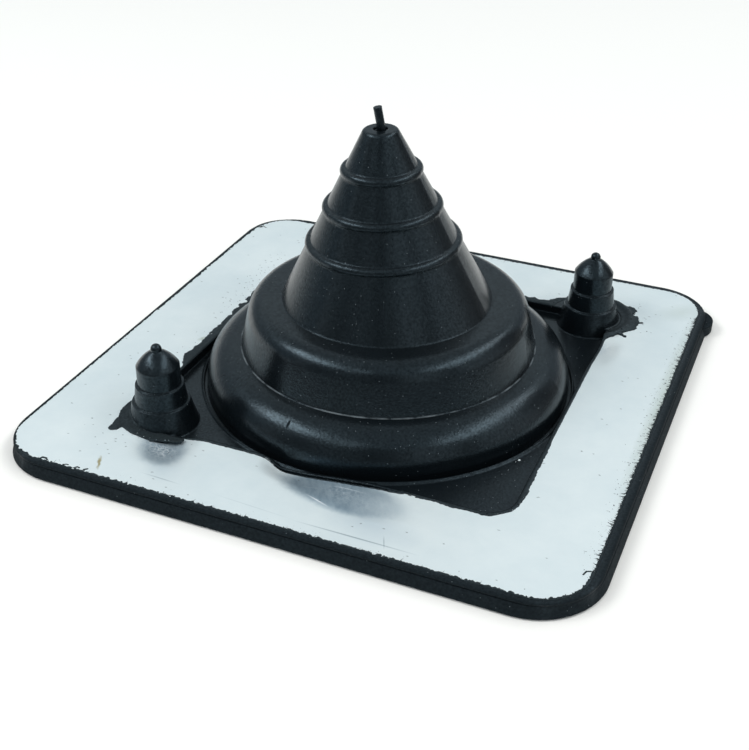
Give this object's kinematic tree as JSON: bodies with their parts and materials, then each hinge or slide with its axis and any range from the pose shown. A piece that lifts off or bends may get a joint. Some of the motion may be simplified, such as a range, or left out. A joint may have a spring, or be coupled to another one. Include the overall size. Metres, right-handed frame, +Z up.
{
  "type": "roof cable seal",
  "caption": "Square roof flashing seal: a stepped rubber cone boot on a bellows roll, with small cable nipples, on a pad faced with a soft aluminium flange sheet.",
  "frame": {"origin": "centre of the square base on the plane of its underside", "axes": "+Z up along the cone's axis, X and Y along the sides of the square base, cable nipples at the corners -X -Y and +X +Y"},
  "size_m": [0.1149, 0.114, 0.058],
  "materials": {
    "epdm_rubber": "moulded EPDM rubber, semi-gloss black",
    "aluminium_sheet": "soft mill-finish aluminium sheet, dull"
  },
  "bodies": {
    "root": {"rubber_boot": "epdm_rubber", "aluminium_flange": "aluminium_sheet"}
  },
  "joints": []
}
